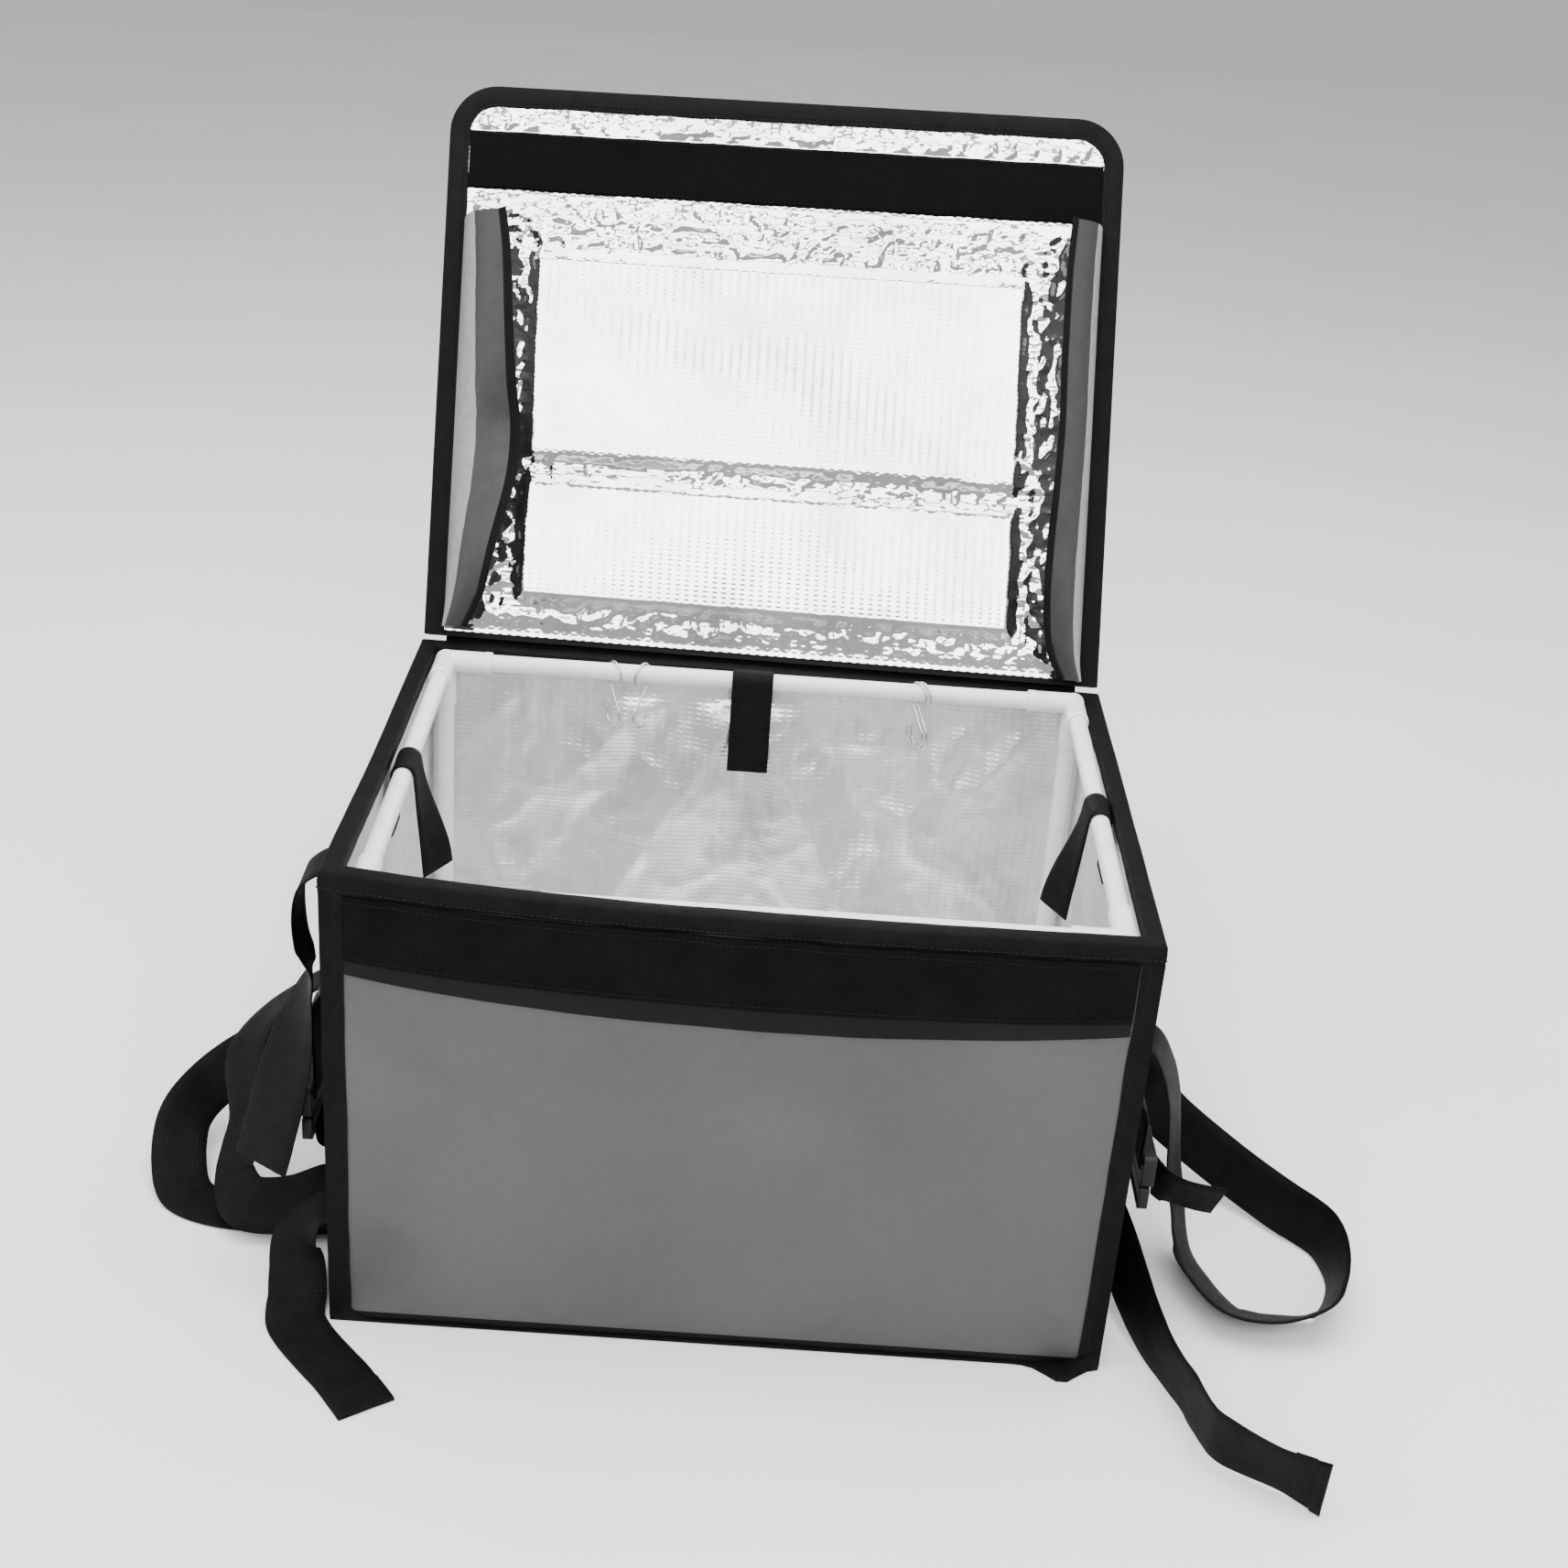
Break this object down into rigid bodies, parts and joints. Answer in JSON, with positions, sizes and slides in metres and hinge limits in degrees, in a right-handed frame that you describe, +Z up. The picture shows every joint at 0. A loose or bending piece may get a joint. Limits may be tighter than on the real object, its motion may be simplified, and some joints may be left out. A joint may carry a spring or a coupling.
{
  "type": "insulated delivery box",
  "caption": "Soft insulated delivery box with its foil-lined lid thrown back, a white plastic tube frame inside, wire S-hooks and black webbing straps.",
  "frame": {"origin": "middle of the base's underside, on the floor", "axes": "+Z up, +X to the right and +Y to the back, seen from the front"},
  "size_m": [0.8344, 0.6964, 0.7011],
  "materials": {
    "grey_coated_cloth": "satin coated woven cloth over padding",
    "black_coated_cloth": "coated woven cloth over padding",
    "silver_foil": "foil laminated to a woven emboss",
    "black_tape": "ribbed binding tape",
    "black_fastening_tape": "hook and loop pile",
    "black_webbing": "woven strap",
    "white_plastic": "smooth plumbing tube",
    "chromed_wire": "bright wire",
    "black_moulded_plastic": "fine moulded grain"
  },
  "bodies": {
    "box": {"front_panel": "grey_coated_cloth", "base_panel": "black_coated_cloth", "back_panel": "black_coated_cloth", "left_panel": "black_coated_cloth", "right_panel": "black_coated_cloth", "lid_panel": "black_coated_cloth", "skirt_left": "black_coated_cloth", "skirt_right": "black_coated_cloth", "foil_lining": "silver_foil", "lid_lining": "silver_foil", "rim_binding": "black_tape", "edge_binding": "black_tape", "hinge_tape": "black_tape", "lid_binding": "black_tape", "skirt_left_binding": "black_tape", "skirt_right_binding": "black_tape", "hook_band": "black_fastening_tape", "lid_loop_strip": "black_fastening_tape", "frame_strap_back": "black_webbing", "frame_strap_left": "black_webbing", "frame_strap_right": "black_webbing", "left_upper_strap": "black_webbing", "left_buckle_webbing": "black_webbing", "left_plug_webbing": "black_webbing", "left_outer_loop": "black_webbing", "left_inner_loop": "black_webbing", "left_lower_tail": "black_webbing", "right_buckle_webbing": "black_webbing", "right_short_tail": "black_webbing", "right_shoulder_loop": "black_webbing", "right_lower_tail": "black_webbing", "tube_lower_front": "white_plastic", "tube_lower_back": "white_plastic", "tube_lower_left": "white_plastic", "tube_lower_right": "white_plastic", "tube_upper_front": "white_plastic", "tube_upper_back": "white_plastic", "tube_upper_left": "white_plastic", "tube_upper_right": "white_plastic", "tube_upright_front_left": "white_plastic", "tube_upright_front_right": "white_plastic", "tube_upright_back_left": "white_plastic", "tube_upright_back_right": "white_plastic", "fitting_lower_front_left": "white_plastic", "fitting_lower_front_right": "white_plastic", "fitting_lower_back_left": "white_plastic", "fitting_lower_back_right": "white_plastic", "fitting_upper_front_left": "white_plastic", "fitting_upper_front_right": "white_plastic", "fitting_upper_back_left": "white_plastic", "fitting_upper_back_right": "white_plastic", "left_adjuster": "black_moulded_plastic", "left_buckle_socket": "black_moulded_plastic", "left_buckle_plug": "black_moulded_plastic", "right_buckle_socket": "black_moulded_plastic", "right_buckle_plug": "black_moulded_plastic"},
    "hook_left_outer": {"s_hook_left_outer": "chromed_wire"},
    "hook_left_inner": {"s_hook_left_inner": "chromed_wire"},
    "hooks_right": {"s_hook_right_inner": "chromed_wire", "s_hook_right_outer": "chromed_wire"}
  },
  "joints": [
    {"name": "hook_left_outer_swing", "type": "hinge", "parent": "box", "child": "hook_left_outer", "pos_m": [-0.107, 0.1707, 0.3154], "axis": [-1, 0, 0], "range_deg": [-1.5, 75]},
    {"name": "hook_left_inner_swing", "type": "hinge", "parent": "box", "child": "hook_left_inner", "pos_m": [-0.086, 0.1707, 0.3154], "axis": [-1, 0, 0], "range_deg": [-1.5, 75]},
    {"name": "hooks_right_swing", "type": "hinge", "parent": "box", "child": "hooks_right", "pos_m": [0.1182, 0.1707, 0.3154], "axis": [-1, 0, 0], "range_deg": [-1.5, 75]}
  ]
}
